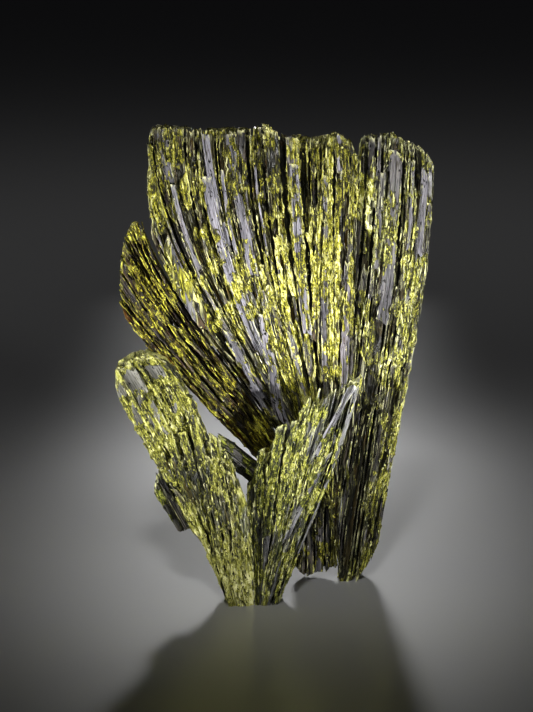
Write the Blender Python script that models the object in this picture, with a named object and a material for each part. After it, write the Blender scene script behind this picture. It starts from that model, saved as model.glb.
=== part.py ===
"""An epidote crystal cluster that stands upright on three crystal feet.

A fan of long striated blades spreads upwards and to the left.  A dark wing leaves it
on the left, a thick slab closes it on the right, and three shorter prisms grow in
front of its root.  Every group of blades is a sheaf: its blades run from a root line
to a crest line, lie side by side across the sheaf and overlap their neighbours.
"""
import math
import random

import bmesh
import bpy
from mathutils import Vector

MM = 0.001

# Whole object
GAP = 0.3 * MM                # clearance between crystals that touch
CENTRE = Vector((0.2, -1.6, 0.0)) * MM   # middle of the footprint, moved to the origin
FLOOR_BLOCK = Vector((100, 100, 20)) * MM   # the block that cuts the feet flat
MERGE_DISTANCE = 0.002 * MM   # points nearer than this become one

# Blades
STATIONS = 4                  # sections along a blade, from its root to its tip
SIDE_THINNING = 0.28          # how much thinner a sheaf is along its two sides
BEVEL = (0.06, 0.22)          # width of the sloped face on each side of a blade, of its width
RIDGE_HEIGHT = (0.80, 1.0)    # height of a blade's flat face, of half the sheaf's thickness
GROOVE = (0.72, 0.86)         # height of the groove between two blades, of the blade's
FACE_TILT = 0.05              # largest tilt of a blade's flat face, as a height at its sides
EDGE_HEIGHT = 0.35            # height of the narrow face along a sheaf's side
TIP_STEP = 1.2                # largest step between the tips of two blades, mm
TIP_FALL = (1.0, 2.2)         # fall of a blade's tip towards its back, mm
BOW_SCALE = 27 / 4            # makes the largest value of along^2 * (1 - along) one

# Ledges, the shorter blades that lie on a sheaf's faces
LEDGE_STATIONS = 3            # sections along a ledge
LEDGE_LOW = (0.12, 0.50)      # where a ledge starts, of the way from root to crest
LEDGE_HIGH = (0.68, 0.97)     # where it ends
LEDGE_HEIGHT = (1.08, 1.22)   # how far it stands out, of half the sheaf's thickness
LEDGE_SLOPE = 0.08            # how much lower its right side may be
LEDGE_FOOT = 0.1              # how deep in the sheaf its two sides end
LEDGE_SKEW = 1.2              # largest slant of its tip across its width, mm
LEDGE_TIP_FALL = 0.5          # fall of its tip towards the sheaf, mm
LEDGE_WIDTH = (0.8, 1.5)      # its width, of the width of the sheaf's blades
LEDGE_MARGIN = (0.3, 1.2)     # from the sheaf's left side to the first ledge, of a blade's width
LEDGE_SPACING = (0.5, 1.2)    # from one ledge to the next, of a blade's width
LAST_LEDGE = 1.3              # the last ledge starts this far from the right side, of a blade's width

# Each sheaf gives points of its root and its crest as (place across it, x, y, z) in mm,
# the bow of its blades as (place, mm to the right at two thirds of the length), and its
# whole thickness at the root, the middle and the crest.
FAN = {
    "seed": 11,
    "root": [(0.00, 1.2, 3.5, 29.0), (0.10, 3.6, 3.8, 26.0), (0.20, 6.2, 4.2, 22.5),
             (0.40, 8.8, 5.0, 18.5), (0.60, 10.6, 5.8, 14.5), (0.80, 11.4, 6.6, 9.5),
             (1.00, 12.0, 7.0, 2.2)],
    "crest": [(0.00, -23.2, -6.0, 68.4), (0.10, -23.2, -5.7, 79.6), (0.16, -23.0, -5.4, 88.4),
              (0.20, -21.5, -5.2, 89.7), (0.34, -14.3, -4.6, 88.3), (0.53, -4.4, -3.9, 88.3),
              (0.58, -1.8, -3.7, 88.8), (0.66, 2.1, -3.3, 86.9), (0.78, 8.2, -2.8, 86.5),
              (0.88, 11.9, -2.4, 87.2), (0.95, 14.3, -2.2, 85.7), (1.00, 15.4, -2.2, 82.9)],
    "bow": [(0.0, -1.5), (0.1, -3.0), (0.2, -4.2), (0.35, -3.5), (0.6, -1.6), (1.0, 0.8)],
    "thickness": (7.0, 9.0, 6.0),
    "blades": 22,
}
REAR_BLADES = {
    "seed": 19,
    "root": [(0.00, 4.0, 6.5, 2.9), (0.25, 5.7, 6.5, 0.7), (0.50, 7.5, 6.5, 1.2),
             (0.80, 10.2, 6.8, 1.7), (1.00, 11.7, 7.0, 2.4)],
    "crest": [(0.00, 2.8, 6.0, 34.0), (1.00, 12.0, 6.0, 36.0)],
    "bow": [(0.0, 0.0), (1.0, 0.0)],
    "thickness": (6.0, 7.5, 7.0),
    "blades": 4,
}
LEFT_WING = {
    "seed": 12,
    "root": [(0.00, -2.2, 2.0, 23.8), (1.00, 1.2, 2.0, 28.6)],
    "crest": [(0.00, -27.2, -6.6, 52.9), (0.20, -28.3, -6.6, 57.1), (0.45, -28.0, -6.5, 63.8),
              (0.70, -27.1, -6.3, 68.9), (0.82, -26.0, -6.2, 71.1), (0.90, -24.7, -6.1, 71.0),
              (1.00, -23.2, -6.0, 68.1)],
    "bow": [(0.0, -0.2), (1.0, -1.6)],
    "thickness": (5.5, 7.0, 4.5),
    "blades": 8,
}
RIGHT_SLAB = {
    "seed": 13,
    "root": [(0.00, 10.6, 6.5, 21.4), (0.20, 12.3, 8.0, 6.4), (0.35, 12.7, 8.4, -1.0),
             (0.50, 14.2, 8.4, -1.2), (0.65, 16.2, 8.4, 0.2), (0.82, 18.1, 8.2, 3.0),
             (1.00, 20.2, 7.6, 7.2)],
    "crest": [(0.00, 15.6, -1.2, 84.0), (0.06, 16.4, -1.2, 86.8), (0.25, 19.7, -1.2, 86.9),
              (0.42, 22.3, -1.2, 87.0), (0.54, 24.2, -1.2, 85.6), (0.80, 27.3, -1.0, 84.4),
              (1.00, 29.5, -0.8, 81.4)],
    "bow": [(0.0, 1.0), (1.0, 1.5)],
    "thickness": (9.0, 8.5, 6.5),
    "blades": 11,
}
FRONT_PRISM = {
    "seed": 14,
    "root": [(0.00, -3.3, -9.2, -1.0), (1.00, 0.7, -8.8, -1.0)],
    "crest": [(0.00, -4.7, -8.0, 16.8), (0.06, -5.1, -7.6, 22.6), (0.12, -2.3, -7.2, 27.3),
              (0.20, 2.1, -6.6, 31.2), (0.32, 5.9, -6.0, 34.8), (0.50, 9.6, -5.2, 38.9),
              (0.75, 12.8, -4.6, 40.6), (0.90, 14.6, -4.2, 42.1), (1.00, 16.5, -4.0, 41.8)],
    "bow": [(0.0, -0.4), (1.0, 1.0)],
    "thickness": (8.0, 8.0, 4.5),
    "blades": 9,
}
UPPER_LEFT = {
    "seed": 15,
    "root": [(0.00, -18.8, -7.5, 21.2), (0.35, -15.6, -7.2, 21.7), (0.70, -12.6, -7.0, 24.4),
             (1.00, -10.5, -6.6, 27.7)],
    "crest": [(0.00, -29.2, -10.0, 40.6), (0.30, -29.2, -10.0, 45.2), (0.55, -26.0, -10.0, 47.0),
              (0.85, -22.6, -9.6, 47.8), (1.00, -20.2, -9.2, 46.2)],
    "bow": [(0.0, -0.1), (1.0, 0.9)],
    "thickness": (7.5, 8.5, 7.5),
    "blades": 6,
}
LEFT_FOOT = {
    "seed": 16,
    "root": [(0.00, -15.0, -8.5, 13.8), (0.10, -13.3, -8.6, 11.8), (0.20, -11.1, -9.0, 7.1),
             (0.35, -7.9, -9.0, -1.0), (1.00, -3.6, -9.0, -1.0)],
    "crest": [(0.00, -21.0, -11.5, 26.4), (0.20, -18.7, -12.0, 29.2), (0.45, -14.5, -12.0, 29.9),
              (0.62, -10.8, -11.5, 29.0), (0.76, -8.4, -11.0, 27.0), (0.90, -6.2, -10.5, 23.1),
              (1.00, -4.7, -10.0, 18.8)],
    "bow": [(0.0, 0.0), (1.0, 0.2)],
    "thickness": (8.5, 9.0, 6.5),
    "blades": 9,
}
STUB = {
    "seed": 17,
    "root": [(0.00, -17.7, -8.6, 13.2), (1.00, -14.2, -8.2, 14.4)],
    "crest": [(0.00, -22.4, -9.2, 21.3), (0.45, -21.8, -9.2, 24.9), (1.00, -18.4, -8.8, 26.2)],
    "bow": [(0.0, 0.0), (1.0, 0.0)],
    "thickness": (4.0, 4.6, 4.0),
    "blades": 2,
}
BRIDGE = {
    "seed": 18,
    "root": [(0.00, -3.6, -5.2, 21.3), (1.00, -0.9, -4.7, 24.0)],
    "crest": [(0.00, -11.1, -7.2, 27.9), (1.00, -11.6, -6.8, 32.5)],
    "bow": [(0.0, 0.0), (1.0, 0.3)],
    "thickness": (4.6, 5.0, 4.4),
    "blades": 2,
}

OLIVE = (0.055, 0.060, 0.018)
YELLOW_GREEN = (0.19, 0.20, 0.045)
BROWN_BLACK = (0.030, 0.026, 0.012)
GREY_GREEN = (0.14, 0.15, 0.085)


def new_collection(name):
    collection = bpy.data.collections.new(name)
    bpy.context.scene.collection.children.link(collection)
    return collection


def crystal_material(name, colour):
    material = bpy.data.materials.new(name)
    material.use_nodes = True
    shader = material.node_tree.nodes["Principled BSDF"]
    shader.inputs["Base Color"].default_value = (*colour, 1.0)
    shader.inputs["Roughness"].default_value = 0.32
    shader.inputs["Metallic"].default_value = 0.0
    shader.inputs["IOR"].default_value = 1.74
    return material


def value_at(line, across):
    """The values of a sheaf's line, such as its crest, at a place across the sheaf."""
    before = line[0]
    for after in line[1:]:
        if across <= after[0] or after is line[-1]:
            share = (across - before[0]) / (after[0] - before[0])
            return [start + (end - start) * share for start, end in zip(before[1:], after[1:])]
        before = after


def point_in(sheaf, across, along):
    """A point in the middle of the sheaf, from its root (along 0) to its crest (along 1)."""
    root = Vector(value_at(sheaf["root"], across))
    rise = Vector(value_at(sheaf["crest"], across)) - root
    rightward = Vector((rise.z, 0.0, -rise.x)).normalized()
    bow = value_at(sheaf["bow"], across)[0] * BOW_SCALE * along ** 2 * (1 - along)
    return (root + rise * along + rightward * bow) * MM


def blade_length(sheaf, across):
    return (point_in(sheaf, across, 1) - point_in(sheaf, across, 0)).length


def thickness_at(sheaf, across, along):
    """The sheaf's thickness, which runs through its three values and thins at its sides."""
    root, middle, crest = sheaf["thickness"]
    value = root + (crest - root) * along
    value += (middle - (root + crest) / 2) * 4 * along * (1 - along)
    side = abs(2 * across - 1)
    return value * (1 - SIDE_THINNING * side ** 4) * MM


def spot(sheaf, across, along, depth, grow=0.0):
    """A point of the sheaf at a depth from -1, its front face, to 1, its back face."""
    middle = point_in(sheaf, across, along)
    half = thickness_at(sheaf, across, along) / 2
    return middle + Vector((0.0, half * depth + math.copysign(grow, depth), 0.0)) - CENTRE


def add_point(bm, sheaf, across, along, depth, grow, rightward):
    """A vertex at a spot of the sheaf, moved to the right."""
    return bm.verts.new(spot(sheaf, across, along, depth, grow) + Vector((rightward, 0.0, 0.0)))


def face_profile(sheaf, rng):
    """Points across one face of a sheaf, as (place, height): each blade is a flat ridge."""
    count = sheaf["blades"]
    points = [(0.0, EDGE_HEIGHT)]
    for i in range(count):
        height = rng.uniform(*RIDGE_HEIGHT)
        tilt = rng.uniform(-FACE_TILT, FACE_TILT)
        points.append(((i + rng.uniform(*BEVEL)) / count, height + tilt))
        points.append(((i + 1 - rng.uniform(*BEVEL)) / count, height - tilt))
        last = i == count - 1
        points.append(((i + 1) / count, EDGE_HEIGHT if last else height * rng.uniform(*GROOVE)))
    return points


def add_core(bm, sheaf, grow=0.0):
    """The closed body of a sheaf: ridged front and back faces that end in stepped tips.

    grow moves its faces out, for a cutter that leaves a gap round the sheaf.
    """
    rng = random.Random(sheaf["seed"])
    count = sheaf["blades"]
    faces = {-1: face_profile(sheaf, rng), 1: face_profile(sheaf, rng)}
    tips = [rng.uniform(0.0, TIP_STEP) for _ in range(count)]
    falls = [rng.uniform(*TIP_FALL) for _ in range(count)]
    rings = []
    for station in range(STATIONS):
        ring = {}
        for side, profile in faces.items():
            row = []
            for number, (place, height) in enumerate(profile):
                blade = min(max(number - 1, 0) // 3, count - 1)
                along = station / (STATIONS - 1)
                if station == STATIONS - 1:
                    after = blade + 1 if number % 3 == 0 and 0 < number < 3 * count else blade
                    step = max(tips[blade], tips[after]) + (falls[blade] if side == 1 else 0.0)
                    along -= (step * MM - grow) / blade_length(sheaf, place)
                if station == 0:
                    along -= grow / blade_length(sheaf, place)
                wide = {0: -grow, 3 * count: grow}.get(number, 0.0)
                row.append(add_point(bm, sheaf, place, along, side * height, grow, wide))
            ring[side] = row
        rings.append(ring)
    for low, high in zip(rings, rings[1:]):
        for side in faces:
            for i in range(3 * count):
                bm.faces.new((low[side][i], low[side][i + 1], high[side][i + 1], high[side][i]))
        for end in (0, -1):
            bm.faces.new((low[-1][end], low[1][end], high[1][end], high[-1][end]))
    for ring in (rings[0], rings[-1]):
        for i in range(3 * count):
            bm.faces.new((ring[-1][i], ring[-1][i + 1], ring[1][i + 1], ring[1][i]))


def add_ledge(bm, sheaf, side, left, right, span, height, rng, grow=0.0):
    """A single blade that lies on a face of the sheaf and ends in an oblique tip."""
    width = right - left
    corners = [(left, LEDGE_FOOT),
               (left + width * rng.uniform(*BEVEL), height),
               (right - width * rng.uniform(*BEVEL), height - rng.uniform(0.0, LEDGE_SLOPE)),
               (right, LEDGE_FOOT)]
    skew = rng.uniform(-LEDGE_SKEW, LEDGE_SKEW)
    last = LEDGE_STATIONS - 1
    rings = []
    for station in range(LEDGE_STATIONS):
        share = station / last
        ring = []
        for number, (place, deep) in enumerate(corners):
            along = span[0] + (span[1] - span[0]) * share
            if station == last:
                drop = skew * (place - left) / width + (LEDGE_TIP_FALL if deep == LEDGE_FOOT else 0.0)
                along -= (drop * MM - grow) / blade_length(sheaf, place)
            if station == 0:
                along -= grow / blade_length(sheaf, place)
            wide = grow * (-1 if number < 2 else 1)
            ring.append(add_point(bm, sheaf, place, along, side * deep, grow, wide))
        rings.append(ring)
    for low, high in zip(rings, rings[1:]):
        for i in range(4):
            j = (i + 1) % 4
            bm.faces.new((low[i], low[j], high[j], high[i]))
    bm.faces.new(rings[0])
    bm.faces.new(rings[-1])


def add_ledges(bm, sheaf, grow=0.0):
    """Shorter blades, one on about every second blade of the front and the back face."""
    rng = random.Random(sheaf["seed"] + 100)
    count = sheaf["blades"]
    for side in (-1, 1):
        place = rng.uniform(*LEDGE_MARGIN)
        while place < count - LAST_LEDGE:
            width = rng.uniform(*LEDGE_WIDTH)
            span = (rng.uniform(*LEDGE_LOW), rng.uniform(*LEDGE_HIGH))
            height = rng.uniform(*LEDGE_HEIGHT)
            left, right = place / count, (place + width) / count
            add_ledge(bm, sheaf, side, left, right, span, height, rng, grow)
            place += width + rng.uniform(*LEDGE_SPACING)


def mesh_object(name, bm, collection):
    bmesh.ops.triangulate(bm, faces=bm.faces[:])
    bmesh.ops.recalc_face_normals(bm, faces=bm.faces[:])
    mesh = bpy.data.meshes.new(name)
    bm.to_mesh(mesh)
    bm.free()
    piece = bpy.data.objects.new(name, mesh)
    collection.objects.link(piece)
    return piece


def apply_boolean(piece, cutter, operation):
    boolean = piece.modifiers.new(operation.title(), "BOOLEAN")
    boolean.operation = operation
    boolean.solver = "EXACT"
    boolean.use_self = True
    boolean.object = cutter
    bpy.context.view_layer.update()
    evaluated = piece.evaluated_get(bpy.context.evaluated_depsgraph_get())
    mesh = bpy.data.meshes.new_from_object(evaluated)
    piece.modifiers.clear()
    old = piece.data
    piece.data = mesh
    mesh.name = piece.name
    bpy.data.meshes.remove(old)


def keep_main_body(piece):
    """Drops the chips that a cut leaves, and closed pockets between blades."""
    bm = bmesh.new()
    bm.from_mesh(piece.data)
    bmesh.ops.remove_doubles(bm, verts=bm.verts[:], dist=MERGE_DISTANCE)
    todo = set(bm.verts)
    bodies = []
    while todo:
        body = {todo.pop()}
        edge = list(body)
        while edge:
            for link in edge.pop().link_edges:
                for vert in link.verts:
                    if vert in todo:
                        todo.discard(vert)
                        body.add(vert)
                        edge.append(vert)
        bodies.append(body)
    bodies.sort(key=len)
    for body in bodies[:-1]:
        bmesh.ops.delete(bm, geom=list(body), context="VERTS")
    bmesh.ops.triangulate(bm, faces=bm.faces[:])
    bm.to_mesh(piece.data)
    bm.free()


def floor_block(collection):
    """A block below the floor, which cuts the feet flat."""
    bm = bmesh.new()
    bmesh.ops.create_cube(bm, size=1.0)
    bmesh.ops.scale(bm, verts=bm.verts[:], vec=FLOOR_BLOCK)
    bmesh.ops.translate(bm, verts=bm.verts[:], vec=(0, 0, -FLOOR_BLOCK.z / 2))
    block = mesh_object("floor_block", bm, collection)
    block.hide_render = True
    block.display_type = "WIRE"
    return block


def crystal(name, sheaves, neighbours, material, parts, cutters, floor):
    """A node: its sheaves joined in one solid, cut clear of its neighbours and the floor."""
    bm = bmesh.new()
    for sheaf in sheaves:
        add_core(bm, sheaf)
        add_ledges(bm, sheaf)
    piece = mesh_object(name, bm, parts)
    apply_boolean(piece, floor, "DIFFERENCE")
    for neighbour in neighbours:
        cutter_mesh = bmesh.new()
        add_core(cutter_mesh, neighbour, grow=GAP)
        add_ledges(cutter_mesh, neighbour, grow=GAP)
        cutter = mesh_object(name + "_clearance", cutter_mesh, cutters)
        cutter.hide_render = True
        cutter.display_type = "WIRE"
        apply_boolean(piece, cutter, "DIFFERENCE")
    keep_main_body(piece)
    piece.data.materials.clear()
    piece.data.materials.append(material)
    return piece


def main():
    for item in list(bpy.data.objects):
        bpy.data.objects.remove(item, do_unlink=True)
    parts = new_collection("epidote_crystal_cluster")
    cutters = new_collection("cutters")
    floor = floor_block(cutters)
    olive = crystal_material("olive_epidote", OLIVE)
    yellow = crystal_material("yellow_green_epidote", YELLOW_GREEN)
    brown = crystal_material("brown_black_epidote", BROWN_BLACK)
    grey = crystal_material("grey_green_epidote", GREY_GREEN)
    crystal("fan", [FAN, REAR_BLADES], [], olive, parts, cutters, floor)
    crystal("right_slab", [RIGHT_SLAB], [FAN, REAR_BLADES], olive, parts, cutters, floor)
    crystal("left_wing", [LEFT_WING], [FAN], brown, parts, cutters, floor)
    crystal("front_prism", [FRONT_PRISM], [FAN, RIGHT_SLAB, LEFT_WING], grey, parts, cutters, floor)
    crystal("left_prism", [UPPER_LEFT, LEFT_FOOT], [FRONT_PRISM, LEFT_WING, FAN],
            yellow, parts, cutters, floor)
    crystal("stub_crystal", [STUB], [UPPER_LEFT, LEFT_FOOT], olive, parts, cutters, floor)
    crystal("bridge_crystal", [BRIDGE], [UPPER_LEFT, LEFT_FOOT, FRONT_PRISM, LEFT_WING, FAN],
            olive, parts, cutters, floor)


main()
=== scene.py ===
"""The looks of an epidote crystal cluster: striated blades, broken tips, splinters and crust.

Every crystal of the cluster is a sheaf of blades that run from a root line to a crest
line. The sheaves' numbers are those of the solids, apart from small steps in two ragged
borders and a left foot that is thinner at its top, so the blades lie where the solids do.
"""
import math

import bpy
import numpy as np
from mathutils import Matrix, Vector
from mathutils.bvhtree import BVHTree


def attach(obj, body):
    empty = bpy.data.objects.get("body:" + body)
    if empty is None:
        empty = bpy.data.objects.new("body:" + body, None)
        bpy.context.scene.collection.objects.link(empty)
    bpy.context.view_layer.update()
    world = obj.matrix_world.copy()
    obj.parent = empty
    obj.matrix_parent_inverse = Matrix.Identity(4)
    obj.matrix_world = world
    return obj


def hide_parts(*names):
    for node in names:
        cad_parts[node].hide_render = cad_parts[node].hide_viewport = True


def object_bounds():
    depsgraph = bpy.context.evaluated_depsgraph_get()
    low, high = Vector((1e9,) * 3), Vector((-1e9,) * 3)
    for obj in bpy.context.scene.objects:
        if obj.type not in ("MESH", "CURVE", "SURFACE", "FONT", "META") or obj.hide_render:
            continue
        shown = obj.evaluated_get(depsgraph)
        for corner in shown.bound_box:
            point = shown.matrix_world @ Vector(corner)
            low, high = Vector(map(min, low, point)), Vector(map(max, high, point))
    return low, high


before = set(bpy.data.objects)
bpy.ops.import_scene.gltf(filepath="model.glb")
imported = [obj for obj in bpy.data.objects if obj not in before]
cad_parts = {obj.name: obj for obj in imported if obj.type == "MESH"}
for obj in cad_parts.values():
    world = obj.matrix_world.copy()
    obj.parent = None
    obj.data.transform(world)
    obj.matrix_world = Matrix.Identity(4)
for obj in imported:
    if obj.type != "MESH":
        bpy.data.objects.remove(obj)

cad_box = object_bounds()

MM = 0.001
CENTRE = np.array([0.2, -1.6, 0])   # mm, the middle of the footprint in the sheaves' own numbers
BOW_SCALE = 27 / 4                  # makes the largest value of along^2 * (1 - along) one
SIDE_THINNING = 0.28                # how much thinner a sheaf is along its two sides

# Points of each sheaf's root and crest as (place across it, x, y, z) in mm, the bow of its
# blades to the right in mm, and its whole thickness at the root, the middle and the crest.
FAN = dict(
    root=[(0, 1.2, 3.5, 29), (0.1, 3.6, 3.8, 26), (0.2, 6.2, 4.2, 22.5), (0.4, 8.8, 5, 18.5),
          (0.6, 10.6, 5.8, 14.5), (0.8, 11.4, 6.6, 9.5), (1, 12, 7, 2.2)],
    crest=[(0, -22.6, -6, 68.4), (0.03, -22.2, -5.9, 72.8), (0.06, -23, -5.9, 75.4),
           (0.1, -23.2, -5.7, 79.8), (0.11, -22.1, -5.6, 81), (0.135, -22.8, -5.6, 83.8),
           (0.16, -22.9, -5.4, 88), (0.2, -21.5, -5.2, 89), (0.34, -14.3, -4.6, 88.3),
           (0.53, -4.4, -3.9, 88.3), (0.58, -1.8, -3.7, 88.8), (0.66, 2.1, -3.3, 86.9),
           (0.78, 8.2, -2.8, 86.5), (0.88, 11.9, -2.4, 87.2), (0.95, 14.3, -2.2, 85.7),
           (1, 15.4, -2.2, 82.9)],
    bow=[(0, -1.5), (0.1, -3), (0.2, -4.2), (0.35, -3.5), (0.6, -1.6), (1, 0.8)],
    thickness=(7, 9, 6))
REAR_BLADES = dict(
    root=[(0, 4, 6.5, 2.9), (0.25, 5.7, 6.5, 0.7), (0.5, 7.5, 6.5, 1.2), (0.8, 10.2, 6.8, 1.7),
          (1, 11.7, 7, 2.4)],
    crest=[(0, 2.8, 6, 34), (1, 12, 6, 36)],
    bow=[(0, 0), (1, 0)],
    thickness=(6, 7.5, 7))
LEFT_WING = dict(
    root=[(0, -2.2, 2, 23.8), (1, 1.2, 2, 28.6)],
    crest=[(0, -27.2, -6.6, 52.9), (0.2, -28.3, -6.6, 57.1), (0.45, -28, -6.5, 63.8),
           (0.7, -27.1, -6.3, 68.9), (0.82, -26, -6.2, 71.1), (0.9, -24.7, -6.1, 71),
           (1, -23.2, -6, 68.1)],
    bow=[(0, -0.2), (1, -1.6)],
    thickness=(5.5, 7, 4.5))
RIGHT_SLAB = dict(
    root=[(0, 10.6, 6.5, 21.4), (0.2, 12.3, 8, 6.4), (0.35, 12.7, 8.4, -1), (0.5, 14.2, 8.4, -1.2),
          (0.65, 16.2, 8.4, 0.2), (0.82, 18.1, 8.2, 3), (1, 20.2, 7.6, 7.2)],
    crest=[(0, 15.6, -1.2, 84), (0.06, 16.4, -1.2, 86.8), (0.25, 19.7, -1.2, 86.9),
           (0.42, 22.3, -1.2, 87), (0.54, 24.2, -1.2, 85.6), (0.8, 27.3, -1, 84.4),
           (1, 29.5, -0.8, 81.4)],
    bow=[(0, 1), (1, 1.5)],
    thickness=(9, 8.5, 6.5))
FRONT_PRISM = dict(
    root=[(0, -3.3, -9.2, -1), (1, 0.7, -8.8, -1)],
    crest=[(0, -4.7, -8, 16.8), (0.05, -5, -7.6, 22), (0.09, -3.9, -7.4, 24.2), (0.1, -3.4, -7.3, 26.4),
           (0.15, -1.2, -7, 27.6), (0.16, -0.4, -6.9, 30), (0.22, 2.6, -6.5, 30.8),
           (0.23, 3.2, -6.4, 32.9), (0.3, 5.1, -6.1, 33.4), (0.31, 5.7, -6, 35.3),
           (0.41, 7.7, -5.6, 36), (0.42, 8.1, -5.5, 38.2), (0.5, 9.7, -5.2, 38.5),
           (0.51, 10, -5.2, 39.6), (0.75, 12.8, -4.6, 40.6), (0.9, 14.6, -4.2, 42.1),
           (1, 16.5, -4, 41.8)],
    bow=[(0, -0.4), (1, 1)],
    thickness=(8, 8, 4.5))
UPPER_LEFT = dict(
    root=[(0, -18.8, -7.5, 21.2), (0.35, -15.6, -7.2, 21.7), (0.7, -12.6, -7, 24.4),
          (1, -10.5, -6.6, 27.7)],
    crest=[(0, -29, -10, 40.6), (0.3, -28.9, -10, 45.2), (0.55, -26, -10, 47),
           (0.85, -22.6, -9.6, 47.8), (1, -20.2, -9.2, 46.2)],
    bow=[(0, -0.1), (1, 0.9)],
    thickness=(7.5, 8.5, 7.5))
LEFT_FOOT = dict(
    root=[(0, -15, -8.5, 13.8), (0.1, -13.3, -8.6, 11.8), (0.2, -11.1, -9, 7.1), (0.35, -7.9, -9, -1),
          (1, -3.6, -9, -1)],
    crest=[(0, -21, -11, 26.4), (0.2, -18.7, -11.3, 29.2), (0.45, -14.5, -11.3, 29.9),
           (0.62, -10.8, -11, 29), (0.76, -8.4, -10.8, 27), (0.9, -6.2, -10.5, 23.1),
           (1, -4.7, -10, 18.8)],
    bow=[(0, 0), (1, 0.2)],
    thickness=(8.5, 9, 4.6))
STUB = dict(
    root=[(0, -17.7, -8.6, 13.2), (1, -14.2, -8.2, 14.4)],
    crest=[(0, -22.4, -9.2, 21.3), (0.45, -21.8, -9.2, 24.9), (1, -18.4, -8.8, 26.2)],
    bow=[(0, 0), (1, 0)],
    thickness=(4, 4.6, 4))
BRIDGE = dict(
    root=[(0, -3.6, -5.2, 21.3), (1, -0.9, -4.7, 24)],
    crest=[(0, -11.1, -7.2, 27.9), (1, -11.6, -6.8, 32.5)],
    bow=[(0, 0), (1, 0.3)],
    thickness=(4.6, 5, 4.4))

# Soft patches of crust on the front, as (x, z, radius) in mm and how much they add or take
CRUST_PATCHES = [
    (-2, 62, 7, 0.3), (3, 74, 6, 0.16), (14, 76, 5.5, 0.34), (9, 68, 5, 0.2), (-21.5, 72, 4, 0.25),
    (-18, 84, 3, 0.1), (-22, 58, 6, 0.22), (25.5, 62, 4, 0.34), (24, 30, 6, 0.2), (-12, 84, 4.5, -0.3),
    (-8, 66, 4, -0.22), (5, 50, 5, -0.12), (26, 79, 5, -0.4), (20, 84, 4, -0.25), (18.5, 60, 4, -0.25),
    (-20, 38, 6, 0.22), (-1, 30, 4, 0.2), (12, 20, 6, -0.2), (-27.2, 42, 1.9, -1.3),
    (-24.6, 43.6, 1.9, -1.4), (-21.8, 44.8, 1.6, -1.3), (-20.4, 39.6, 1.2, -0.6), (-24, 38.4, 2, 0.2),
    (-14, 26, 4, -0.18), (-24, 56, 5, 0.15), (-12, 45, 7, -0.15), (-22.5, 82, 2.5, 0.35),
    (-22.5, 75, 3, 0.35), (-1, 86, 3.5, 0.25), (27.5, 48, 2.6, 0.35), (25.5, 34, 2.6, 0.35),
    (22.5, 20, 2.6, 0.3), (-29, 42.5, 1, 1.6), (-28.2, 45, 1.1, 1.6), (-26, 46.4, 1.1, 1.6),
    (-23.6, 47.1, 1.1, 1.6), (-21.2, 46.8, 1.1, 1.6), (-16, 26.5, 3.2, -0.1), (-11, 22.5, 3, -0.05),
    (-8, 14, 3, -0.2), (-3.5, 24, 3, 0.1), (0.5, 31, 2.5, 0.05), (-10.9, 31.2, 2.2, 0.9),
    (-10.5, 28.5, 1.4, 0.6),
]
# Places on the front whose crust and crystal are darker or brighter, listed in the same way. The
# bright one low at the feet, at (-7, 5), is painted light where the lamps' light falls off, and those
# along the slab's right edge, at (27.5, 48), (25.5, 34) and (22.5, 18), are a painted rim highlight.
TONE_AND_LIGHT_PATCHES = [
    (-15.5, 25, 4.5, -1), (-10, 19, 3.5, -0.5), (-21, 35, 5, 0.3), (-17, 53, 4, -0.8),
    (-6, 37, 4.5, -0.9), (-14.5, 84, 2.5, -0.5), (-0.5, 82, 4, -0.6), (-2.5, 16, 2.5, -0.7),
    (-0.5, 7, 3.5, -0.5), (9, 14, 5, -0.8), (16.5, 36, 4, -0.8), (17, 26, 4.5, -0.8), (18, 14, 4, -0.6),
    (21, 54, 5, -0.5), (16, 74, 4, 0.5), (-2, 60, 6, 0.2), (27.5, 48, 2.5, 0.6), (25.5, 34, 2.5, 0.6),
    (22.5, 18, 2.5, 0.6), (-7, 5, 4, 0.7),
]

EDGE_WIDTH = 0.16               # mm over which a blade's edge is worn
CRUST_LEVEL = 0.97              # height of thick crust as a share of the sheaf's half thickness
FLOOR_CLEARANCE = 0.02          # mm
FLOOR_SIZE = 8                  # m
SHARP_ANGLE = 28                # degrees between faces from which an edge is shaded sharp
LUMP_SCALE = (1.1, 1.1, 0.5)    # lumps of crust in each mm
GRIT_SCALE = (2.5, 2.5, 1.1)    # grains of crust in each mm
FIRST_SEED, DRESS_SEED = 20, 5
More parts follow.
